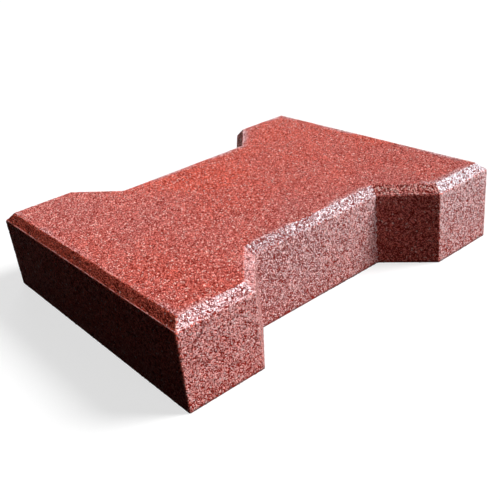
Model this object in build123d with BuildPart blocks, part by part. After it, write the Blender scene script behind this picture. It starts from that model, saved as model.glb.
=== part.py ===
from build123d import *
import os

# Rubber paver: one block, moulded in one piece from rubber granulate.
# In plan it is a dog-bone, with a wide head at each end, a narrow waist between them and slanted flanks
# that join the two. Blocks are laid end to end in rows, and each row is shifted by half a block from
# the next, so the two heads that meet in one row fill the notch beside the waist in the row beside it.
# The origin is the middle of the underside, X runs along the block, Y across it and Z up.

# Driving dimensions, in millimetres
block_length = 200.0
block_width = 160.0
block_thickness = 43.0
notch_depth = 24.0  # from a head's long side in to the waist's side
flank_length = 20.0  # along X, from where a flank leaves the head to where it meets the waist
bevel_size = 4.5  # width and drop of the bevel round the walking face
arris_radius = 1.0  # softening of every edge but those of the underside

# Sizes that follow. A notch takes two heads, so the waist is as long as two of them.
head_length = (block_length - 2 * flank_length) / 4
waist_length = 2 * head_length
waist_width = block_width - 2 * notch_depth

# Corners of one quarter of the outline, from the middle of the end round to the middle of the waist
end_middle = (block_length / 2, 0)
head_corner = (block_length / 2, block_width / 2)
head_shoulder = (waist_length / 2 + flank_length, block_width / 2)
waist_corner = (waist_length / 2, waist_width / 2)
waist_middle = (0, waist_width / 2)


with BuildPart() as paver:
    # Interlocking outline: the quarter, mirrored across the block and then along it
    with BuildSketch():
        with BuildLine():
            Polyline(end_middle, head_corner, head_shoulder, waist_corner, waist_middle)
            mirror(about=Plane.XZ)
            mirror(about=Plane.YZ)
        make_face()
    extrude(amount=block_thickness)

    underside = paver.faces().sort_by(Axis.Z)[0]
    walking_face = paver.faces().sort_by(Axis.Z)[-1]

    # Mitred bevel, which follows the outline round the walking face
    chamfer(walking_face.edges(), length=bevel_size)

    # The mould leaves the uprights, the mitres and both rims of the bevel slightly rounded, and the
    # underside's edge sharp
    fillet(paver.edges() - underside.edges(), radius=arris_radius)

paver.part.label = "paver"

os.makedirs("parts", exist_ok=True)
export_step(paver.part, "parts/paver.step")
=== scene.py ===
"""Looks of a dog-bone rubber paver: one block moulded from brick-red rubber granulate."""

import math
from typing import NamedTuple

import bmesh
import bpy
from mathutils import Matrix, Vector


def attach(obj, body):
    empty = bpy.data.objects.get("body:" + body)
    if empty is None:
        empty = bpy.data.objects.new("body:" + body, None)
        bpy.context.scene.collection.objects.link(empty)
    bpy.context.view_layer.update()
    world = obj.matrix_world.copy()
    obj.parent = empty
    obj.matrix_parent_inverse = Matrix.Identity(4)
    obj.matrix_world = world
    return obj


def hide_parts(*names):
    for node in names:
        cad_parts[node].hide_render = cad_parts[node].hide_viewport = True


bl_info = {
    "name": "Rubber paver",
    "version": (1, 0, 0),
    "blender": (4, 5, 0),
    "location": "View3D > Sidebar > Paver",
    "description": "Builds a moulded rubber paver with its granulate, and a plain studio round it",
    "category": "Object",
}

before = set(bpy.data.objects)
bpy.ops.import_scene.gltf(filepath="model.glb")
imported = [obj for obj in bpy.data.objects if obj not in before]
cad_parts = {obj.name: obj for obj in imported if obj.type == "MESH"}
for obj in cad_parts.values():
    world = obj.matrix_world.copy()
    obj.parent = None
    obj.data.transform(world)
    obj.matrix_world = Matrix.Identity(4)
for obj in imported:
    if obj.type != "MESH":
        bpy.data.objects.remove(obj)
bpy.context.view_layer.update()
BODY = "root"
NODE = "paver"
MM = 0.001

LEVEL = 0.82  # a face is level past this upward share of its normal
UPRIGHT = 0.62  # and upright under this one
LENGTHWISE = 0.80  # a side faces the block's end past this share of its normal along X
CROSSWISE = 0.70  # and a long side past this share along Y, beside a left flank
SHADED = 0.92  # or past this one beside a right flank
ALONG_SIDE = 0.9  # a bevel follows a long side past this share along Y of its normal seen from above
ALONG_FLANK = 0.4  # and a flank past this one
WAIST = 70 * MM  # the waist's sides lie nearer than this to the block's middle


class Wall(NamedTuple):
    """One region of the mould's inner surface, and how the granulate came out of it."""

    name: str
    spacing: float = 0.95  # share of the usual spacing between grains
    size: float = 0.95  # share of their usual size
    uneven: float = 0.8  # share of the usual rise and fall of the pressed grains
    sunk: float = 1.0  # share of the usual depth of their middles
    bloom_and_painted_sheen: float = 0.08  # how much of the pale bloom its grains took from the mould, together with painted sheen, and on the bevels painted highlight
    shade: float = 1.0  # how bright its colours are: its own tone together with painted light and shade for how the lamps fall on this wall
    dark: float = 0.25  # share of its grains that are darker than most
    pale: float = 0.14  # and share that are paler, which also serve as painted glints
    patchy: float = 0.5  # how far its tone drifts towards the dusty patches
    smoothest: float = 0.40  # roughness of its smoothest grain
    roughest: float = 0.65  # and of its roughest
    shine: float = 0.25  # specular level of its grains
    sheen: float = 0.0  # glow of its dust at a grazing view
    cool: float = 0.0  # how bluish its shine and sheen are
    painted_highlight: float = 0.0  # how far its bloom turns to the painted highlight colour, the bluish white reflection on the bevels
    speckled: float = 0.12  # how strong the specks within its grains are
    worn_and_lit_rim: float = 0.0  # how much paler its rim is in places: wear together with painted highlight where the rim catches light
    fade: float = 0.0  # how much painted shade darkens it towards the ground
    margin: float = 0.0  # least distance of its grains from the next wall


WALKED = {
    "spacing": 0.64,
    "size": 0.54,
    "uneven": 1.2,
    "bloom_and_painted_sheen": 0.05,
    "patchy": 1.0,
    "shine": 0.1,
    "worn_and_lit_rim": 0.8,
}
BEVELLED = {"spacing": 0.66, "size": 0.60, "sunk": 0.7}
POLISHED = {"smoothest": 0.26, "roughest": 0.48, "cool": 1.0}
# Painted highlight: the heavy bloom and highlight colour of the bevels paint in their pale shine where they
# face the key lamp
HEADS = {"bloom_and_painted_sheen": 0.80, "dark": 0.36, "uneven": 0.5, "shine": 0.80, "sheen": 0.6, **BEVELLED, **POLISHED}
WAISTS = {"sheen": 0.2, "speckled": 0.3, **BEVELLED, **POLISHED}
COARSE = {"spacing": 0.82, "size": 0.76, "uneven": 0.5, "sunk": 0.8}
FINE = {"spacing": 0.70, "size": 0.66}
MOULDED = {"spacing": 0.80, "size": 0.80}
SIDES = {"bloom_and_painted_sheen": 0.55, "patchy": 0.3, "shine": 0.35, "sheen": 0.5, **MOULDED}
WALLS = (
    Wall("left_walking_face", shade=1.06, dark=0.42, pale=0.20, speckled=0.25, **WALKED),
    Wall("right_walking_face", shade=0.94, dark=0.26, pale=0.15, **WALKED),
    Wall("left_head_bevels", painted_highlight=0.3, shade=0.94, **HEADS),
    Wall("right_head_bevels", painted_highlight=0.9, **HEADS),
    Wall("left_waist_bevels", bloom_and_painted_sheen=0.78, painted_highlight=0.4, shade=0.84, dark=0.90, shine=0.75, **WAISTS),
    Wall("right_waist_bevels", bloom_and_painted_sheen=0.72, painted_highlight=0.5, shade=0.92, dark=0.64, shine=0.85, **WAISTS),
    Wall("left_flank_bevels", bloom_and_painted_sheen=0.54, shade=0.80, dark=0.44, shine=0.9, sheen=0.5, **COARSE, **POLISHED),
    Wall("right_flank_bevels", bloom_and_painted_sheen=0.14, shade=1.36, dark=0.46, pale=0.40, shine=0.4, **COARSE),
    Wall("left_end_bevels", bloom_and_painted_sheen=0.04, pale=0.03, patchy=0.0, uneven=0.5, shine=0.05, **BEVELLED),
    Wall("right_end_bevels", bloom_and_painted_sheen=0.45, shade=0.84, dark=0.42, shine=0.4, sheen=0.3, **BEVELLED),
    Wall("left_head_sides", shade=0.77, dark=0.24, **SIDES),
    Wall("right_head_sides", shade=0.80, dark=0.13, **SIDES),
    Wall("left_waist_sides", bloom_and_painted_sheen=0.70, dark=0.60, pale=0.3, speckled=0.3, shine=0.5, sheen=0.4, **FINE),
    Wall("right_waist_sides", shade=0.79, dark=0.19, **SIDES),
    Wall("left_flanks", bloom_and_painted_sheen=0.45, shade=0.54, dark=0.44, sheen=0.2, cool=0.5, **MOULDED),
    Wall("right_flanks", bloom_and_painted_sheen=0.10, shade=1.3, dark=0.42, pale=0.08, shine=0.02, **FINE),
    Wall("left_end", shade=0.85, pale=0.05, shine=0.01, fade=0.6, **MOULDED),
    Wall("right_end", bloom_and_painted_sheen=0.22, shade=0.76, dark=0.38, sheen=0.2, **MOULDED),
    # Painted shade: the underside's grains are darkened so that a dark line of shade shows along the foot
    Wall("underside", spacing=1.9, size=1.8, uneven=1.0, margin=1.6 * MM, shade=0.4, roughest=0.8),
)
# Painted highlight: the lip's bloom makes it a pale line, as light catching the lip would
FLASH = Wall("flash", bloom_and_painted_sheen=0.5, smoothest=0.3, shine=0.5)

# How the grains of one wall differ, as shares of its usual values
CROWDING = 6.0  # points tried for each square as wide as the spacing
NARROWEST = 0.75  # least width of a grain along each of its three axes
WIDEST = 1.45  # and most
PUSHED = 0.16  # how far the corners of a grain are pushed about
RIPPLES = 1.2  # how often the roughness of the pressed tops repeats in a grain's width
LEAST_BLOOM_AND_SHEEN = 0.6  # bloom and painted sheen on the grain that took least
MOST_BLOOM_AND_SHEEN = 1.4  # and on the one that took most
DIMMEST = 0.80  # how bright the dimmest grain is
BRIGHTEST = 1.20  # and the brightest
MOST_LIGHT = 1.05  # no grain's colour gets brighter than this
LIGHTNESS_DRAW = 29.0  # a grain's tone times this, less the whole part, gives its own lightness
ROUGHNESS_DRAW = 13.0  # and times this its own roughness
PRESSED_ROUNDS = 3  # a grain in a corner is outside three walls
CELL_RIM = 0.05  # empty share of a map cell's width on each side

# The random draws, told apart by their seeds
DEPTH_SEED = 1
TONE_SEED = 2
TOP_SEED = 3
TURN_SEED = 4
WIDTH_SEED = 5
BLOOM_AND_SHEEN_SEED = 6
PUSH_SEED = 7
FLASH_TONE_SEED = 8
BURR_SEED = 11
BURR_TURN_SEED = 12
BURR_WIDTH_SEED = 13

# How the looks change along the block and up it
HEAD_MIDDLE = 80 * MM  # along the block from its middle
BEVEL_HEIGHT = 40 * MM  # above the ground
LEFT_PAINTED_SHEEN = 0.83  # share of the bloom and painted sheen at the left head's middle; it grows towards the right head, where more sheen is painted
RIGHT_PAINTED_SHEEN = 1.5  # and at the right head's
FOOT_BLOOM_AND_SHEEN = 0.80  # share of the bloom and painted sheen at the ground
TOP_BLOOM_AND_SHEEN = 1.15  # and at the bevel
CONTACT_SHADOW_LIGHT = 0.08  # how bright the foot is in the painted contact shadow along the ground
CONTACT_SHADOW_FULL = 0.6 * MM  # up to here
CONTACT_SHADOW_END = 1.6 * MM  # and the painted shadow ends here

# The flash's form
FLASH_CORNERS = 5  # of its section
RAGGED_WIDTH = 0.08  # share of its thickness where it's thinnest
BROKEN_WIDTH = 0.2  # share where most of it has broken off
WHOLE_WIDTH = 0.6  # and where it hasn't
DARKEST_FLASH = 0.3  # least tone of its points
FLASH_ENDS = 99 * MM  # it's thickest this far along the block
THIN_FLASH = 0.35  # share of that thickness between the heads
SMALLEST_CRUMB = 0.7  # least width of a crumb that hangs on it, as a share of its thickness
LARGEST_CRUMB = 1.7  # and most
CRUMB_INSET = 0.6 * MM  # how far inwards those crumbs sit

# The looks of a grain's surface
BRIGHT_SPECKS = 0.4  # how strong the bright specks are beside the dark ones
SPECK_RELIEF = {"Strength": 0.3, "Distance": 0.05 * MM}
SHEEN_ROUGHNESS = 0.4
LESS_RED = 0.16  # share of red that the coolest shine lacks
LESS_GREEN = 0.08  # and of green
BINDER_ROUGHNESS = 0.7
BINDER_SHINE = 0.02


class Pattern(NamedTuple):
    """A noise, and the part of its range over which something changes."""

    scale: float
    detail: float = 0.0
    roughness: float = 0.5
    low: float = 0.0
    high: float = 1.0


RIM_WEAR_AND_HIGHLIGHT = Pattern(scale=40.0, detail=2.0, low=0.46, high=0.58)
DUST = Pattern(scale=12.0, detail=3.0, roughness=0.6, low=0.30, high=0.60)
SPECKS = Pattern(scale=2000.0, detail=1.0, low=0.30, high=0.70)
BINDER_SPECKS = Pattern(scale=1200.0, detail=3.0)
RAGGED = Pattern(scale=420.0, detail=3.0, roughness=0.7, low=0.38, high=0.72)
BROKEN_OFF = Pattern(scale=70.0, detail=1.0, low=0.38, high=0.52)


class FarLamp(NamedTuple):
    """The direction from the block to a lamp, and how wide the lamp looks from there."""

    towards: tuple
    width: float


KEY_LAMP = FarLamp((0.60, -0.45, 0.68), math.radians(22))
FRONT_LAMP = FarLamp((0.10, -1.0, 0.30), math.radians(20))
BACK_LAMP = FarLamp((0.45, 0.75, 0.45), math.radians(30))
PANEL_PLACE = (340 * MM, -460 * MM, 120 * MM)
PANEL_WIDTH = 250 * MM

# The white surroundings, which light the block little
WHITE = (1.0, 1.0, 1.0, 1.0)
UNSEEN_FLOOR = (0.01, 0.01, 0.01)  # the floor's colour to the light that it throws back
SEEN_FLOOR = (0.30, 0.30, 0.30)  # and to the camera
FLOOR_GLOW = 0.70  # what it glows by itself to the camera
FLOOR_CORNERS = 64
MIRRORED_SIDE = (0.76, -0.65, 0.0)  # the direction from which the block mirrors the backdrop
MIRRORED_FULLY = 0.8  # from this share of that direction on


class PaverGrains(bpy.types.PropertyGroup):
    """Sizes of the granulate."""

    grain_size: bpy.props.FloatProperty(
        name="Grain size",
        description="Width of a middling grain",
        default=1.5 * MM,
        min=0.2 * MM,
        unit="LENGTH",
        subtype="DISTANCE",
    )
    spacing: bpy.props.FloatProperty(
        name="Spacing",
        description="Least distance between the middles of two grains",
        default=0.84 * MM,
        min=0.2 * MM,
        unit="LENGTH",
        subtype="DISTANCE",
    )
    shallowest: bpy.props.FloatProperty(
        name="Shallowest",
        description="How far below the mould's wall the middle of the outermost grain lies",
        default=0.20 * MM,
        min=0.0,
        unit="LENGTH",
        subtype="DISTANCE",
    )
    deepest: bpy.props.FloatProperty(
        name="Deepest",
        description="How far below the mould's wall the middle of the deepest grain lies",
        default=0.50 * MM,
        min=0.0,
        unit="LENGTH",
        subtype="DISTANCE",
    )
    pressed: bpy.props.FloatProperty(
        name="Pressed",
        description="Most that a grain's pressed top lies below the mould's wall",
        default=0.08 * MM,
        min=0.0,
        unit="LENGTH",
        subtype="DISTANCE",
    )
    roughened: bpy.props.FloatProperty(
        name="Roughened",
        description="How far the pressed tops rise and fall within a grain",
        default=0.12 * MM,
        min=0.0,
        unit="LENGTH",
        subtype="DISTANCE",
    )
    recess: bpy.props.FloatProperty(
        name="Recess",
        description="How far the block between the grains lies below the mould's wall",
        default=0.32 * MM,
        min=0.0,
        unit="LENGTH",
        subtype="DISTANCE",
    )
    # Partly painted highlight: the pale rim is wear together with light caught along the rim
    pale_rim_width: bpy.props.FloatProperty(
        name="Pale rim width",
        description="How far the worn rim of the walking face reaches inwards",
        default=4.0 * MM,
        min=0.1 * MM,
        unit="LENGTH",
        subtype="DISTANCE",
    )
    seed: bpy.props.IntProperty(
        name="Seed",
        description="Start of every random draw",
        default=7,
    )


class PaverFlash(bpy.types.PropertyGroup):
    """Sizes of the thin lip that the mould leaves round the foot of the bevel."""

    thickness: bpy.props.FloatProperty(
        name="Thickness",
        description="About how wide the lip is where it is widest",
        default=0.6 * MM,
        min=0.05 * MM,
        unit="LENGTH",
        subtype="DISTANCE",
    )
    height: bpy.props.FloatProperty(
        name="Height",
        description="How high the lip lies above the ground",
        default=39.05 * MM,
        min=0.0,
        unit="LENGTH",
        subtype="DISTANCE",
    )
    step: bpy.props.FloatProperty(
        name="Step",
        description="Distance between the lip's points",
        default=0.7 * MM,
        min=0.1 * MM,
        unit="LENGTH",
        subtype="DISTANCE",
    )
    burrs: bpy.props.FloatProperty(
        name="Burrs",
        description="Share of the lip's points that carry a crumb",
        default=0.03,
        min=0.0,
        max=1.0,
    )


class PaverColours(bpy.types.PropertyGroup):
    """Colours of the granulate, from the darkest grain to the palest."""

    darkest: bpy.props.FloatVectorProperty(
        name="Darkest grain",
        description="Colour of the darkest grains",
        default=(0.20, 0.011, 0.006),
        size=3,
        subtype="COLOR",
    )
    middling: bpy.props.FloatVectorProperty(
        name="Middling grain",
        description="Colour of most grains",
        default=(0.92, 0.151, 0.089),
        size=3,
        subtype="COLOR",
    )
    # Partly painted glints: the palest grains also stand in for bright specks where crumbs catch the light
    palest: bpy.props.FloatVectorProperty(
        name="Palest grain",
        description="Colour of the palest grains",
        default=(0.96, 0.66, 0.59),
        size=3,
        subtype="COLOR",
    )
    patches: bpy.props.FloatVectorProperty(
        name="Patches",
        description="Colour that the walking face tends to in worn, dusty patches",
        default=(0.75, 0.222, 0.192),
        size=3,
        subtype="COLOR",
    )
    # Partly painted sheen: this pale film colour also paints in the sheen and highlight that the lamps lay on
    # the sides and bevels
    bloom_and_painted_sheen: bpy.props.FloatVectorProperty(
        name="Bloom And Painted Sheen",
        description="Pale film on the grains that lay against the mould",
        default=(0.90, 0.61, 0.62),
        size=3,
        subtype="COLOR",
    )
    # Painted highlight: a bluish white that stands in for the reflection on the bevels
    painted_highlight: bpy.props.FloatVectorProperty(
        name="Painted highlight",
        description="Colour of that film where it lies thickest",
        default=(0.90, 0.84, 0.90),
        size=3,
        subtype="COLOR",
    )
    patch_seed: bpy.props.FloatProperty(
        name="Patch seed",
        description="Start of the draw that places the patches",
        default=159.0,
    )
    binder: bpy.props.FloatVectorProperty(
        name="Binder",
        description="Colour between the grains",
        default=(0.30, 0.030, 0.022),
        size=3,
        subtype="COLOR",
    )


class PaverStage(bpy.types.PropertyGroup):
    """The camera, the lamps and the floor."""

    azimuth: bpy.props.FloatProperty(
        name="Azimuth",
        description="Camera's direction round the block, from the front towards the right",
        default=math.radians(-36.95),
        subtype="ANGLE",
    )
    elevation: bpy.props.FloatProperty(
        name="Elevation",
        description="Camera's height above the horizon",
        default=math.radians(27.49),
        subtype="ANGLE",
    )
    roll: bpy.props.FloatProperty(
        name="Roll",
        description="Camera's turn about its own line of sight",
        default=math.radians(-6.74),
        subtype="ANGLE",
    )
    aim: bpy.props.FloatVectorProperty(
        name="Aim",
        description="Point that the camera looks at",
        default=(1.14 * MM, 2.15 * MM, 4.61 * MM),
        size=3,
        unit="LENGTH",
        subtype="TRANSLATION",
    )
    distance: bpy.props.FloatProperty(
        name="Distance",
        description="From the aim to the camera",
        default=395.5 * MM,
        unit="LENGTH",
        subtype="DISTANCE",
    )
    focal_length: bpy.props.FloatProperty(
        name="Focal length",
        description="Lens's focal length for a 36 mm sensor, in millimetres",
        default=51.60,
    )
    floor_radius: bpy.props.FloatProperty(
        name="Floor radius",
        description="Radius of the round floor",
        default=12.0,
        unit="LENGTH",
        subtype="DISTANCE",
    )
    key_strength: bpy.props.FloatProperty(
        name="Key strength",
        description="Light of the main lamp, in watts for each square metre",
        default=4.95,
    )
    front_strength: bpy.props.FloatProperty(
        name="Front strength",
        description="Light of the lamp in front of the block, in watts for each square metre",
        default=0.45,
    )
    side_power: bpy.props.FloatProperty(
        name="Side power",
        description="Light of the panel beside the right head, in watts",
        default=0.50,
    )
    back_strength: bpy.props.FloatProperty(
        name="Back strength",
        description="Light of the lamp behind the block, in watts for each square metre",
        default=0.8,
    )
    fill: bpy.props.FloatProperty(
        name="Fill",
        description="Light that comes from all round",
        default=0.004,
    )


def add_node(tree, kind, inputs=None, **settings):
    """Adds a node. inputs maps a socket's name or number to a value or to another node's output."""
    node = tree.nodes.new(kind)
    for name, value in settings.items():
        setattr(node, name, value)
    for key, value in (inputs or {}).items():
        if isinstance(value, bpy.types.NodeSocket):
            tree.links.new(value, node.inputs[key])
        else:
            node.inputs[key].default_value = value
    return node


def maths(tree, operation, *values):
    """A Math node's output."""
    return add_node(tree, "ShaderNodeMath", dict(enumerate(values)), operation=operation).outputs[0]


def multiplied(tree, number, *others):
    """The number times all the others, one after another."""
    for other in others:
        number = maths(tree, "MULTIPLY", number, other)
    return number


def vector_maths(tree, operation, *values):
    """A Vector Math node. SCALE takes the vector and then the number."""
    inputs = {0: values[0], "Scale": values[1]} if operation == "SCALE" else dict(enumerate(values))
    return add_node(tree, "ShaderNodeVectorMath", inputs, operation=operation)


def scaled(tree, vector, number):
    """The vector times the number."""
    return vector_maths(tree, "SCALE", vector, number).outputs[0]


def map_range(tree, value, from_min, from_max, to_min, to_max):
    """The value moved from one range to another, and held inside it."""
    inputs = {0: value, 1: from_min, 2: from_max, 3: to_min, 4: to_max}
    return add_node(tree, "ShaderNodeMapRange", inputs).outputs[0]


def with_opacity(colour):
    """The colour made opaque, or the socket that brings one as it is."""
    return colour if isinstance(colour, bpy.types.NodeSocket) else (*colour, 1.0)


def mixed(tree, factor, first, second):
    """A colour between two, by the factor."""
    inputs = {0: factor, 6: with_opacity(first), 7: with_opacity(second)}
    return add_node(tree, "ShaderNodeMix", inputs, data_type="RGBA").outputs[2]


def along(tree, vector, axis):
    """The vector's number along that axis."""
    return add_node(tree, "ShaderNodeSeparateXYZ", {0: vector}).outputs[axis]


def random_number(tree, low, high, seed):
    """A random number for each element."""
    inputs = {2: low, 3: high, "Seed": seed}
    return add_node(tree, "FunctionNodeRandomValue", inputs, data_type="FLOAT").outputs[1]


def random_vector(tree, low, high, seed):
    """A random vector for each element, its three numbers drawn between low and high."""
    inputs = {0: (low, low, low), 1: (high, high, high), "Seed": seed}
    return add_node(tree, "FunctionNodeRandomValue", inputs, data_type="FLOAT_VECTOR").outputs[0]


def random_turn(tree, seed):
    """A random rotation for each element."""
    angles = random_vector(tree, 0.0, math.tau, seed)
    return add_node(tree, "FunctionNodeEulerToRotation", {0: angles}).outputs[0]


def noise(tree, place, pattern, seed=0.0):
    """The pattern's noise at that place."""
    inputs = {
        "Vector": place,
        "W": seed,
        "Scale": pattern.scale,
        "Detail": pattern.detail,
        "Roughness": pattern.roughness,
    }
    return add_node(tree, "ShaderNodeTexNoise", inputs, noise_dimensions="4D").outputs["Fac"]


def changed_by(tree, value, pattern, least, most):
    """A number between least and most, by where the noise lies in the pattern's range."""
    return map_range(tree, value, pattern.low, pattern.high, least, most)


def position_of(tree):
    """The place of each element."""
    return add_node(tree, "GeometryNodeInputPosition").outputs[0]


def less_than(tree, number, limit):
    """Whether the number is under the limit."""
    inputs = {0: number, 1: limit}
    node = add_node(tree, "FunctionNodeCompare", inputs, data_type="FLOAT", operation="LESS_THAN")
    return node.outputs[0]


def named_attribute(tree, name, data_type):
    """What is kept on each element under that name."""
    return add_node(tree, "GeometryNodeInputNamedAttribute", {"Name": name}, data_type=data_type).outputs[0]


def stored(tree, geometry, name, value, data_type, domain):
    """The geometry with value kept on it under that name."""
    inputs = {"Geometry": geometry, "Name": name, "Value": value}
    node = add_node(
        tree, "GeometryNodeStoreNamedAttribute", inputs, data_type=data_type, domain=domain
    )
    return node.outputs[0]


def moved(tree, geometry, offset):
    """The geometry with its points moved by the offset."""
    inputs = {"Geometry": geometry, "Offset": offset}
    return add_node(tree, "GeometryNodeSetPosition", inputs).outputs[0]


def realized(tree, geometry):
    """The geometry with its instances made real."""
    return add_node(tree, "GeometryNodeRealizeInstances", {"Geometry": geometry}).outputs[0]


def flat_shaded(tree, geometry):
    """The geometry with every face shaded flat."""
    inputs = {"Geometry": geometry, "Shade Smooth": False}
    return add_node(tree, "GeometryNodeSetShadeSmooth", inputs).outputs[0]


def new_tree(name, sockets):
    """A Geometry Nodes tree with a geometry in and out and these further inputs, as name to type."""
    tree = bpy.data.node_groups.new(name, "GeometryNodeTree")
    tree.interface.new_socket("Geometry", in_out="OUTPUT", socket_type="NodeSocketGeometry")
    tree.interface.new_socket("Geometry", in_out="INPUT", socket_type="NodeSocketGeometry")
    for socket, kind in sockets.items():
        tree.interface.new_socket(socket, in_out="INPUT", socket_type="NodeSocket" + kind)
    return tree, tree.nodes.new("NodeGroupInput").outputs, tree.nodes.new("NodeGroupOutput").inputs


def finish_tree(tree, geometry, material, result):
    """Ends a tree in Realize Instances and Set Material."""
    inputs = {"Geometry": realized(tree, geometry), "Material": material}
    painted = add_node(tree, "GeometryNodeSetMaterial", inputs).outputs[0]
    tree.links.new(painted, result["Geometry"])


def mesh_from_tree(name, mesh, tree, values):
    """A new piece: the mesh that the tree makes of this one, with values for its named inputs."""
    source = bpy.data.objects.new(name + "_source", mesh)
    bpy.context.scene.collection.objects.link(source)
    modifier = source.modifiers.new(tree.name, "NODES")
    modifier.node_group = tree
    for item in tree.interface.items_tree:
        if item.in_out == "INPUT" and item.name in values:
            modifier[item.identifier] = values[item.name]
    bpy.context.view_layer.update()
    evaluated = source.evaluated_get(bpy.context.evaluated_depsgraph_get())
    made = bpy.data.meshes.new_from_object(evaluated)
    made.name = name
    made.materials.clear()
    made.materials.append(values["Material"])
    bpy.data.objects.remove(source)
    piece = bpy.data.objects.new(name, made)
    bpy.context.scene.collection.objects.link(piece)
    return piece


def wall_of(middle, normal):
    """The number of the wall that a face with this middle and normal belongs to."""
    flank = "left_flank" if normal.x > 0 else "right_flank"
    half = "left" if middle.x < 0 else "right"
    stretch = half + ("_waist" if abs(middle.y) < WAIST else "_head")
    if normal.z > LEVEL:
        name = half + "_walking_face"
    elif normal.z < -LEVEL:
        name = "underside"
    elif normal.z > UPRIGHT:
        crosswise = abs(normal.y) / math.hypot(normal.x, normal.y)
        if crosswise > ALONG_SIDE:
            name = stretch + "_bevels"
        elif crosswise > ALONG_FLANK:
            name = flank + "_bevels"
        else:
            name = half + "_end_bevels"
    elif abs(normal.x) > LENGTHWISE:
        name = half + "_end"
    elif abs(normal.y) > (CROSSWISE if normal.x > 0 else SHADED):
        name = stretch + "_sides"
    else:
        name = flank + "s"
    return [wall.name for wall in WALLS].index(name)


def mould_surface():
    """The mould's inner surface: a merged copy of the CAD node, with each face's wall on it."""
    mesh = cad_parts[NODE].data.copy()
    mesh.materials.clear()
    shape = bmesh.new()
    shape.from_mesh(mesh)
    bmesh.ops.remove_doubles(shape, verts=shape.verts, dist=0.001 * MM)
    everything = [*shape.verts, *shape.edges, *shape.faces]
    bmesh.ops.bisect_plane(shape, geom=everything, plane_co=(0, 0, 0), plane_no=(1, 0, 0))
    layer = shape.faces.layers.int.new("wall")
    for face in shape.faces:
        face.normal_update()
        face[layer] = wall_of(face.calc_center_median(), face.normal)
        face.smooth = False
    shape.to_mesh(mesh)
    shape.free()
    return mesh


def pressed_back(tree, geometry, mould, least):
    """The geometry with every point that lies less than least below the mould's wall moved in to there."""
    position = position_of(tree)
    inputs = {0: mould, "Sample Position": position}
    wall = add_node(tree, "GeometryNodeProximity", inputs, target_element="FACES").outputs[0]
    normal = add_node(tree, "GeometryNodeInputNormal").outputs[0]
    inputs = {"Mesh": mould, "Value": normal, "Sample Position": position}
    facing = add_node(
        tree, "GeometryNodeSampleNearestSurface", inputs, data_type="FLOAT_VECTOR"
    ).outputs[0]
    to_wall = vector_maths(tree, "SUBTRACT", wall, position).outputs[0]
    depth = vector_maths(tree, "DOT_PRODUCT", to_wall, facing).outputs["Value"]
    missing = maths(tree, "MAXIMUM", maths(tree, "SUBTRACT", least, depth), 0.0)
    return moved(tree, geometry, scaled(tree, facing, maths(tree, "MULTIPLY", missing, -1.0)))


def map_cells(tree, geometry, count, number, place):
    """Gives each of count like parts its own cell of the map, in rows. place is where on the part."""
    across = maths(tree, "CEIL", maths(tree, "SQRT", count))
    row = maths(tree, "FLOOR", maths(tree, "DIVIDE", number, across))
    column = maths(tree, "SUBTRACT", number, maths(tree, "MULTIPLY", row, across))
    cell = add_node(tree, "ShaderNodeCombineXYZ", {"X": column, "Y": row}).outputs[0]
    used = 1 - 2 * CELL_RIM
    inner = vector_maths(
        tree, "MULTIPLY_ADD", place, (used, used, 0.0), (CELL_RIM, CELL_RIM, 0.0)
    ).outputs[0]
    whole = vector_maths(tree, "ADD", cell, inner).outputs[0]
    whole = scaled(tree, whole, maths(tree, "DIVIDE", 1.0, across))
    return stored(tree, geometry, "OFBake", whole, "FLOAT2", "CORNER")


def scattered_points(tree, given):
    """Points scattered over the given wall, none nearer to another than the spacing."""
    inputs = {2: named_attribute(tree, "wall", "INT"), 3: given["Wall"]}
    here = add_node(
        tree, "FunctionNodeCompare", inputs, data_type="INT", operation="EQUAL"
    ).outputs[0]
    square = maths(tree, "POWER", given["Spacing"], 2.0)
    inputs = {
        "Mesh": given["Geometry"],
        "Selection": here,
        "Distance Min": given["Spacing"],
        "Density Max": maths(tree, "DIVIDE", CROWDING, square),
        "Seed": given["Seed"],
    }
    return add_node(
        tree, "GeometryNodeDistributePointsOnFaces", inputs, distribute_method="POISSON"
    ).outputs


def gap_to_slopes(tree, mould):
    """How far each element is from the walls that aren't level."""
    normal = add_node(tree, "GeometryNodeInputNormal").outputs[0]
    upward = maths(tree, "ABSOLUTE", along(tree, normal, "Z"))
    inputs = {"Geometry": mould, "Selection": less_than(tree, upward, LEVEL)}
    slopes = add_node(
        tree, "GeometryNodeSeparateGeometry", inputs, domain="FACE"
    ).outputs["Selection"]
    return add_node(tree, "GeometryNodeProximity", {0: slopes}, target_element="FACES").outputs["Distance"]


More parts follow.
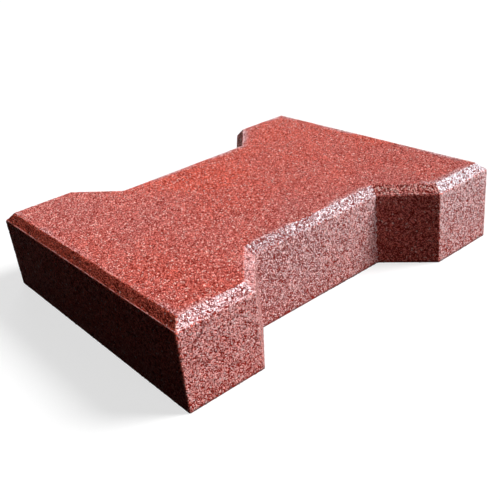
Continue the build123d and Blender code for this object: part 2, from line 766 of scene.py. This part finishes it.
def grain_middles(tree, given):
    """The middles of the grains, each with what it keeps for the steps that follow."""
    scatter = scattered_points(tree, given)

    # Those within the margin of the walls that aren't level are left out
    gap = gap_to_slopes(tree, given["Geometry"])
    inputs = {"Geometry": scatter["Points"], "Selection": less_than(tree, gap, given["Margin"])}
    kept = add_node(tree, "GeometryNodeDeleteGeometry", inputs, domain="POINT").outputs[0]

    # The rim is paler in places: wear together with painted highlight where the rim catches light
    places = noise(tree, position_of(tree), RIM_WEAR_AND_HIGHLIGHT)
    worn_and_lit_rim = map_range(tree, gap, 0.0, given["Pale Rim Width"], given["Worn And Lit Rim"], 0.0)
    worn_and_lit_rim = maths(tree, "MULTIPLY", worn_and_lit_rim, changed_by(tree, places, RIM_WEAR_AND_HIGHLIGHT, 0.0, 1.0))
    share = random_number(tree, LEAST_BLOOM_AND_SHEEN, MOST_BLOOM_AND_SHEEN, BLOOM_AND_SHEEN_SEED)
    bloom_and_painted_sheen = maths(tree, "MULTIPLY_ADD", share, given["Bloom And Painted Sheen"], worn_and_lit_rim)
    kept = stored(tree, kept, "grain_bloom_and_painted_sheen", bloom_and_painted_sheen, "FLOAT", "POINT")

    # Each grain's middle lies somewhere below the mould's wall
    share = random_number(tree, 0.0, 1.0, DEPTH_SEED)
    depth = maths(tree, "SUBTRACT", given["Deepest"], given["Shallowest"])
    depth = maths(tree, "MULTIPLY_ADD", share, depth, given["Shallowest"])
    inwards = scaled(tree, scatter["Normal"], maths(tree, "MULTIPLY", depth, -1.0))
    points = moved(tree, kept, inwards)
    index = add_node(tree, "GeometryNodeInputIndex").outputs[0]
    top = maths(tree, "MULTIPLY", random_number(tree, 0.0, 1.0, TOP_SEED), given["Pressed"])
    points = stored(tree, points, "grain", index, "INT", "POINT")
    points = stored(tree, points, "grain_top", top, "FLOAT", "POINT")
    tone = random_number(tree, 0.0, 1.0, TONE_SEED)
    return stored(tree, points, "grain_tone", tone, "FLOAT", "POINT")


def crumbs_at(tree, points, grain_size):
    """A crumb with eight facets at each point, every one with its own proportions, turn and corners."""
    crumb = add_node(tree, "GeometryNodeMeshUVSphere", {"Segments": 4, "Rings": 2, "Radius": 0.5})
    crumb_mesh = stored(
        tree, crumb.outputs["Mesh"], "grain_place", crumb.outputs["UV Map"], "FLOAT2", "CORNER"
    )
    inputs = {
        "Points": points,
        "Instance": crumb_mesh,
        "Rotation": random_turn(tree, TURN_SEED),
        "Scale": scaled(tree, random_vector(tree, NARROWEST, WIDEST, WIDTH_SEED), grain_size),
    }
    crumbs = realized(tree, add_node(tree, "GeometryNodeInstanceOnPoints", inputs).outputs[0])
    push = random_vector(tree, -PUSHED, PUSHED, PUSH_SEED)
    return moved(tree, crumbs, scaled(tree, push, grain_size))


def pressed_flat(tree, grains, given):
    """The grains with what would stand out of the mould pressed back to just below its wall."""
    waves = Pattern(scale=maths(tree, "DIVIDE", RIPPLES, given["Grain Size"]))
    ripple = noise(tree, position_of(tree), waves)
    dip = maths(tree, "MULTIPLY", ripple, given["Roughened"])
    least = maths(tree, "ADD", named_attribute(tree, "grain_top", "FLOAT"), dip)
    grains = stored(tree, grains, "grain_top", least, "FLOAT", "POINT")

    # A point beside an edge is outside two or three walls, and each round brings it inside one of them
    for _ in range(PRESSED_ROUNDS):
        least = named_attribute(tree, "grain_top", "FLOAT")
        grains = pressed_back(tree, grains, given["Geometry"], least)
    return grains


def granulate_tree():
    """Scatters grains over one wall of the mould and presses them flat against it."""
    tree, given, result = new_tree(
        "Granulate",
        {
            "Wall": "Int",
            "Grain Size": "Float",
            "Spacing": "Float",
            "Shallowest": "Float",
            "Deepest": "Float",
            "Pressed": "Float",
            "Roughened": "Float",
            "Margin": "Float",
            "Bloom And Painted Sheen": "Float",
            "Worn And Lit Rim": "Float",
            "Pale Rim Width": "Float",
            "Seed": "Int",
            "Material": "Material",
        },
    )
    points = grain_middles(tree, given)
    grains = crumbs_at(tree, points, given["Grain Size"])
    grains = pressed_flat(tree, grains, given)

    count = add_node(
        tree, "GeometryNodeAttributeDomainSize", {"Geometry": points}, component="POINTCLOUD"
    ).outputs["Point Count"]
    number = named_attribute(tree, "grain", "INT")
    grains = map_cells(tree, grains, count, number, named_attribute(tree, "grain_place", "FLOAT_VECTOR"))
    for name in ("grain", "grain_top", "grain_place", "wall"):
        inputs = {"Geometry": grains, "Name": name}
        grains = add_node(tree, "GeometryNodeRemoveAttribute", inputs).outputs[0]
    finish_tree(tree, flat_shaded(tree, grains), given["Material"], result)
    return tree


def flash_width(tree, thickness):
    """The lip's width at each of its points: ragged, broken off in places and widest at the ends."""
    position = position_of(tree)
    ragged = changed_by(tree, noise(tree, position, RAGGED), RAGGED, RAGGED_WIDTH, 1.0)
    broken = noise(tree, position, BROKEN_OFF)
    whole = changed_by(tree, broken, BROKEN_OFF, BROKEN_WIDTH, WHOLE_WIDTH)
    distance = maths(tree, "ABSOLUTE", along(tree, position, "X"))
    ends = map_range(tree, distance, HEAD_MIDDLE, FLASH_ENDS, THIN_FLASH, 1.0)
    return multiplied(tree, ragged, thickness, whole, ends)


def flash_burrs(tree, line, given):
    """Crumbs that hang on the lip here and there."""
    inputs = {"Probability": given["Burrs"], "Seed": BURR_SEED}
    rare = add_node(tree, "FunctionNodeRandomValue", inputs, data_type="BOOLEAN").outputs[3]
    crumb = add_node(tree, "GeometryNodeMeshUVSphere", {"Segments": 5, "Rings": 3, "Radius": 0.5})
    size = random_vector(tree, SMALLEST_CRUMB, LARGEST_CRUMB, BURR_WIDTH_SEED)
    inputs = {
        "Points": add_node(tree, "GeometryNodeCurveToPoints", {"Curve": line}, mode="EVALUATED").outputs[0],
        "Selection": rare,
        "Instance": crumb.outputs["Mesh"],
        "Rotation": random_turn(tree, BURR_TURN_SEED),
        "Scale": scaled(tree, size, given["Thickness"]),
    }
    burrs = realized(tree, add_node(tree, "GeometryNodeInstanceOnPoints", inputs).outputs[0])
    outwards = vector_maths(tree, "NORMALIZE", position_of(tree)).outputs[0]
    inset = (-CRUMB_INSET, -CRUMB_INSET, 0.0)
    return moved(tree, burrs, vector_maths(tree, "MULTIPLY", outwards, inset).outputs[0])


def flash_tree():
    """Runs an uneven lip along a closed loop of edges."""
    tree, given, result = new_tree(
        "Flash",
        {"Thickness": "Float", "Step": "Float", "Burrs": "Float", "Bloom And Painted Sheen": "Float", "Material": "Material"},
    )
    line = add_node(tree, "GeometryNodeMeshToCurve", {"Mesh": given["Geometry"]}).outputs[0]
    line = add_node(
        tree, "GeometryNodeResampleCurve", {"Curve": line, "Length": given["Step"]}, mode="LENGTH"
    ).outputs[0]
    inputs = {"Curve": line, "Radius": flash_width(tree, given["Thickness"])}
    line = add_node(tree, "GeometryNodeSetCurveRadius", inputs).outputs[0]
    ring = add_node(
        tree, "GeometryNodeCurvePrimitiveCircle", {"Resolution": FLASH_CORNERS, "Radius": 1.0}, mode="RADIUS"
    ).outputs[0]
    radius = add_node(tree, "GeometryNodeInputRadius").outputs[0]
    inputs = {"Curve": line, "Profile Curve": ring, "Scale": radius}
    lip = add_node(tree, "GeometryNodeCurveToMesh", inputs).outputs[0]

    both = add_node(tree, "GeometryNodeJoinGeometry")
    tree.links.new(flash_burrs(tree, line, given), both.inputs[0])
    tree.links.new(lip, both.inputs[0])
    lip = both.outputs[0]
    tone = random_number(tree, DARKEST_FLASH, 1.0, FLASH_TONE_SEED)
    lip = stored(tree, lip, "grain_tone", tone, "FLOAT", "POINT")
    lip = stored(tree, lip, "grain_bloom_and_painted_sheen", given["Bloom And Painted Sheen"], "FLOAT", "POINT")
    finish_tree(tree, flat_shaded(tree, lip), given["Material"], result)
    return tree


def new_material(name):
    """A material with an empty tree but for its Principled shader and its output."""
    material = bpy.data.materials.new(name)
    material.use_nodes = True
    tree = material.node_tree
    return material, tree, tree.nodes["Principled BSDF"]


def grain_colour(tree, wall, colours, tone, bloom_and_painted_sheen, place):
    """Middling for most grains, darker or paler for some, with bloom and painted sheen over all but the dark
    ones.
    """
    slow = noise(tree, place, DUST, colours.patch_seed)
    dusty = maths(tree, "MULTIPLY", changed_by(tree, slow, DUST, 0.0, 1.0), wall.patchy)
    middling = mixed(tree, dusty, colours.middling, colours.patches)
    pale = mixed(tree, map_range(tree, tone, 1.0 - wall.pale, 1.0, 0.0, 1.0), middling, colours.palest)
    # On the bevels the film turns towards the painted highlight colour
    film_and_sheen = Vector(colours.bloom_and_painted_sheen).lerp(Vector(colours.painted_highlight), wall.painted_highlight)
    with_bloom_and_sheen = mixed(tree, bloom_and_painted_sheen, pale, film_and_sheen)
    return mixed(tree, map_range(tree, tone, 0.0, wall.dark, 0.0, 1.0), colours.darkest, with_bloom_and_sheen)


def grain_light(tree, wall, tone, specks, height):
    """How bright the colour is. It differs from grain to grain and in fine specks, painted contact shadow
    darkens the foot, and painted shade darkens some walls towards the ground.
    """
    own = maths(tree, "FRACT", maths(tree, "MULTIPLY", tone, LIGHTNESS_DRAW))
    light = map_range(tree, own, 0.0, 1.0, DIMMEST * wall.shade, BRIGHTEST * wall.shade)
    brightened = 1.0 + BRIGHT_SPECKS * wall.speckled
    weakened = changed_by(tree, specks, SPECKS, 1.0 - wall.speckled, brightened)
    # Painted contact shadow along the foot
    contact_shadow = map_range(tree, height, CONTACT_SHADOW_FULL, CONTACT_SHADOW_END, CONTACT_SHADOW_LIGHT, 1.0)
    # Painted shade: darker towards the ground where the wall has it
    ground_shaded = map_range(tree, height, 0.0, BEVEL_HEIGHT, 1.0 - wall.fade, 1.0)
    return maths(tree, "MINIMUM", multiplied(tree, light, weakened, contact_shadow, ground_shaded), MOST_LIGHT)


def granulate_material(wall, colours):
    """Rubber crumbs for one wall, each of its own shade, with patches of tone, and with painted sheen,
    highlight and shade in their colour.
    """
    material, tree, shader = new_material(wall.name + "_rubber")
    tone = add_node(tree, "ShaderNodeAttribute", attribute_name="grain_tone").outputs["Fac"]
    bloom_and_painted_sheen = add_node(tree, "ShaderNodeAttribute", attribute_name="grain_bloom_and_painted_sheen").outputs["Fac"]
    place = add_node(tree, "ShaderNodeTexCoord").outputs["Object"]
    specks = noise(tree, place, SPECKS)

    # Painted sheen: the bloom is made thicker towards the right end, where the lamps lay more sheen, and
    # towards the top
    height = along(tree, place, "Z")
    lengthwise = map_range(
        tree, along(tree, place, "X"), -HEAD_MIDDLE, HEAD_MIDDLE, LEFT_PAINTED_SHEEN, RIGHT_PAINTED_SHEEN
    )
    upwards = map_range(tree, height, 0.0, BEVEL_HEIGHT, FOOT_BLOOM_AND_SHEEN, TOP_BLOOM_AND_SHEEN)
    bloom_and_painted_sheen = multiplied(tree, bloom_and_painted_sheen, lengthwise, upwards)

    colour = grain_colour(tree, wall, colours, tone, bloom_and_painted_sheen, place)
    shaded = scaled(tree, colour, grain_light(tree, wall, tone, specks, height))
    tree.links.new(shaded, shader.inputs["Base Color"])
    relief = add_node(tree, "ShaderNodeBump", {"Height": specks, **SPECK_RELIEF}).outputs[0]
    tree.links.new(relief, shader.inputs["Normal"])

    # The darker a grain, the duller it is
    own = maths(tree, "FRACT", maths(tree, "MULTIPLY", tone, ROUGHNESS_DRAW))
    rough = map_range(tree, own, 0.0, 1.0, wall.smoothest, wall.roughest)
    dull = map_range(tree, tone, 0.0, wall.dark, 1.0, 0.0)
    tree.links.new(maths(tree, "MAXIMUM", rough, dull), shader.inputs["Roughness"])
    tint = (1 - LESS_RED * wall.cool, 1 - LESS_GREEN * wall.cool, 1.0, 1.0)
    shader.inputs["Specular IOR Level"].default_value = wall.shine
    shader.inputs["Specular Tint"].default_value = tint
    shader.inputs["Sheen Weight"].default_value = wall.sheen
    shader.inputs["Sheen Roughness"].default_value = SHEEN_ROUGHNESS
    shader.inputs["Sheen Tint"].default_value = tint
    return material


def binder_material(colours):
    """The darker rubber between and below the grains."""
    material, tree, shader = new_material("binder")
    place = add_node(tree, "ShaderNodeTexCoord").outputs["Object"]
    specks = noise(tree, place, BINDER_SPECKS)
    tree.links.new(mixed(tree, specks, colours.darkest, colours.binder), shader.inputs["Base Color"])
    shader.inputs["Roughness"].default_value = BINDER_ROUGHNESS
    shader.inputs["Specular IOR Level"].default_value = BINDER_SHINE
    return material


class PAVER_OT_moulded_block(bpy.types.Operator):
    """Makes the block that holds the grains, just below the mould's walls"""

    bl_idname = "paver.moulded_block"
    bl_label = "Moulded block"

    def execute(self, context):
        recess = context.scene.paver_grains.recess
        mesh = mould_surface()
        shape = bmesh.new()
        shape.from_mesh(mesh)
        shape.normal_update()
        for vertex, normal in [(v, v.normal.copy()) for v in shape.verts]:
            vertex.co -= normal * recess
        shape.to_mesh(mesh)
        shape.free()
        mesh.materials.append(binder_material(context.scene.paver_colours))
        piece = bpy.data.objects.new("moulded_block", mesh)
        context.scene.collection.objects.link(piece)
        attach(piece, BODY)
        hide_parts(NODE)
        return {"FINISHED"}


class PAVER_OT_granulate(bpy.types.Operator):
    """Scatters the grains over every wall of the block, one piece for each"""

    bl_idname = "paver.granulate"
    bl_label = "Granulate"

    def execute(self, context):
        sizes = context.scene.paver_grains
        colours = context.scene.paver_colours
        tree = granulate_tree()
        for number, wall in enumerate(WALLS):
            values = {
                "Wall": number,
                "Grain Size": sizes.grain_size * wall.size,
                "Spacing": sizes.spacing * wall.spacing,
                "Shallowest": sizes.shallowest * wall.sunk,
                "Deepest": sizes.deepest * wall.sunk,
                "Pressed": sizes.pressed,
                "Roughened": sizes.roughened * wall.uneven,
                "Margin": wall.margin,
                "Bloom And Painted Sheen": wall.bloom_and_painted_sheen,
                "Worn And Lit Rim": wall.worn_and_lit_rim,
                "Pale Rim Width": sizes.pale_rim_width,
                "Seed": sizes.seed + number,
                "Material": granulate_material(wall, colours),
            }
            piece = mesh_from_tree(wall.name + "_grains", mould_surface(), tree, values)
            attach(piece, BODY)
        return {"FINISHED"}


class PAVER_OT_flash(bpy.types.Operator):
    """Runs the thin lip round the foot of the bevel, where the two halves of the mould met"""

    bl_idname = "paver.flash"
    bl_label = "Flash"

    def execute(self, context):
        sizes = context.scene.paver_flash
        shape = bmesh.new()
        shape.from_mesh(mould_surface())
        cut = bmesh.ops.bisect_plane(
            shape,
            geom=[*shape.verts, *shape.edges, *shape.faces],
            plane_co=(0, 0, sizes.height),
            plane_no=(0, 0, 1),
            clear_inner=True,
            clear_outer=True,
        )
        shape.normal_update()
        bmesh.ops.remove_doubles(shape, verts=shape.verts, dist=0.01 * MM)
        mesh = bpy.data.meshes.new("bevel_foot")
        shape.to_mesh(mesh)
        shape.free()
        values = {
            "Thickness": sizes.thickness,
            "Step": sizes.step,
            "Burrs": sizes.burrs,
            "Bloom And Painted Sheen": FLASH.bloom_and_painted_sheen,
            "Material": granulate_material(FLASH, context.scene.paver_colours),
        }
        piece = mesh_from_tree("moulding_flash", mesh, flash_tree(), values)
        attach(piece, BODY)
        return {"FINISHED"}


def camera_axes(stage):
    """The camera's right, up and back directions."""
    turn = Matrix.Rotation(stage.azimuth, 3, "Z")
    tilt = Matrix.Rotation(math.pi / 2 - stage.elevation, 3, "X")
    roll = Matrix.Rotation(stage.roll, 3, "Z")
    return turn @ tilt @ roll


def add_lamp(name, kind, towards, energy):
    """A lamp turned to the block, which lies the other way from towards."""
    data = bpy.data.lights.new(name, kind)
    data.energy = energy
    lamp = bpy.data.objects.new(name, data)
    lamp.rotation_euler = Vector(towards).to_track_quat("Z", "Y").to_euler()
    bpy.context.scene.collection.objects.link(lamp)
    return lamp


def add_far_lamp(name, far_lamp, strength):
    """A lamp so far away that its light falls everywhere alike."""
    lamp = add_lamp(name, "SUN", far_lamp.towards, strength)
    lamp.data.angle = far_lamp.width


def add_panel(name, place, width, power):
    """A square lamp at that place."""
    lamp = add_lamp(name, "AREA", place, power)
    lamp.data.size = width
    lamp.location = place


def seen_by_camera(tree, path):
    """Whether a ray comes from the camera, straight or through something clear."""
    return maths(tree, "MAXIMUM", path["Is Camera Ray"], path["Is Transmission Ray"])


def floor_material():
    """A floor that is pale to look at and throws little light back at the block."""
    material, tree, shader = new_material("studio_floor")
    path = add_node(tree, "ShaderNodeLightPath").outputs
    shown = maths(tree, "MAXIMUM", seen_by_camera(tree, path), path["Is Glossy Ray"])
    tree.links.new(mixed(tree, shown, UNSEEN_FLOOR, SEEN_FLOOR), shader.inputs["Base Color"])
    shader.inputs["Emission Color"].default_value = WHITE
    tree.links.new(maths(tree, "MULTIPLY", shown, FLOOR_GLOW), shader.inputs["Emission Strength"])
    shader.inputs["Roughness"].default_value = 1.0
    shader.inputs["Specular IOR Level"].default_value = 0.0
    return material


def studio_sky(fill):
    """A dark room with a white backdrop, which is mirrored only from the side where the key lamp stands."""
    world = bpy.data.worlds.new("studio_sky")
    world.use_nodes = True
    tree = world.node_tree
    path = add_node(tree, "ShaderNodeLightPath").outputs
    direction = add_node(tree, "ShaderNodeTexCoord").outputs["Generated"]
    sideways = vector_maths(tree, "DOT_PRODUCT", direction, MIRRORED_SIDE).outputs["Value"]
    bright = map_range(tree, sideways, 0.0, MIRRORED_FULLY, 0.0, 1.0)
    mirrored = maths(tree, "MULTIPLY", path["Is Glossy Ray"], bright)
    shown = maths(tree, "MAXIMUM", seen_by_camera(tree, path), mirrored)
    sky = tree.nodes["Background"]
    sky.inputs["Color"].default_value = WHITE
    tree.links.new(map_range(tree, shown, 0.0, 1.0, fill, 1.0), sky.inputs["Strength"])
    return world


class PAVER_OT_stage(bpy.types.Operator):
    """Sets up the floor, the lamps, the sky and the camera"""

    bl_idname = "paver.stage"
    bl_label = "Studio"

    def execute(self, context):
        stage = context.scene.paver_stage
        mesh = bpy.data.meshes.new("studio_floor")
        shape = bmesh.new()
        bmesh.ops.create_circle(
            shape, cap_ends=True, segments=FLOOR_CORNERS, radius=stage.floor_radius
        )
        shape.to_mesh(mesh)
        shape.free()
        mesh.materials.append(floor_material())
        floor = bpy.data.objects.new("studio_floor", mesh)
        context.scene.collection.objects.link(floor)

        add_far_lamp("key_lamp", KEY_LAMP, stage.key_strength)
        add_far_lamp("front_lamp", FRONT_LAMP, stage.front_strength)
        add_panel("side_lamp", PANEL_PLACE, PANEL_WIDTH, stage.side_power)
        add_far_lamp("back_lamp", BACK_LAMP, stage.back_strength)
        context.scene.world = studio_sky(stage.fill)

        data = bpy.data.cameras.new("camera")
        data.lens = stage.focal_length
        data.sensor_width = 36.0
        data.clip_start = 10 * MM
        data.clip_end = 4 * stage.floor_radius
        camera = bpy.data.objects.new("camera", data)
        axes = camera_axes(stage)
        place = Vector(stage.aim) + axes.col[2] * stage.distance
        camera.matrix_world = Matrix.Translation(place) @ axes.to_4x4()
        context.scene.collection.objects.link(camera)
        context.scene.camera = camera
        context.scene.view_settings.view_transform = "Standard"
        return {"FINISHED"}


class PAVER_PT_panel(bpy.types.Panel):
    """Lists the settings and the steps that build the paver"""

    bl_label = "Rubber paver"
    bl_idname = "PAVER_PT_panel"
    bl_space_type = "VIEW_3D"
    bl_region_type = "UI"
    bl_category = "Paver"

    def draw(self, context):
        for name, kind in SETTINGS.items():
            box = self.layout.box()
            for setting in kind.__annotations__:
                box.prop(getattr(context.scene, name), setting)
        for step in STEPS:
            self.layout.operator(step.bl_idname)


SETTINGS = {
    "paver_grains": PaverGrains,
    "paver_flash": PaverFlash,
    "paver_colours": PaverColours,
    "paver_stage": PaverStage,
}
STEPS = (PAVER_OT_stage, PAVER_OT_moulded_block, PAVER_OT_granulate, PAVER_OT_flash)
CLASSES = (*SETTINGS.values(), *STEPS, PAVER_PT_panel)


def register():
    """Adds the add-on's classes, and its settings to every scene."""
    for kind in CLASSES:
        bpy.utils.register_class(kind)
    for name, kind in SETTINGS.items():
        setattr(bpy.types.Scene, name, bpy.props.PointerProperty(type=kind))


def unregister():
    """Takes them away again."""
    for name in SETTINGS:
        delattr(bpy.types.Scene, name)
    for kind in reversed(CLASSES):
        bpy.utils.unregister_class(kind)


def main():
    """Builds the paver and its studio."""
    register()
    bpy.ops.paver.stage()
    bpy.ops.paver.moulded_block()
    bpy.ops.paver.granulate()
    bpy.ops.paver.flash()


if __name__ == "__main__":
    main()
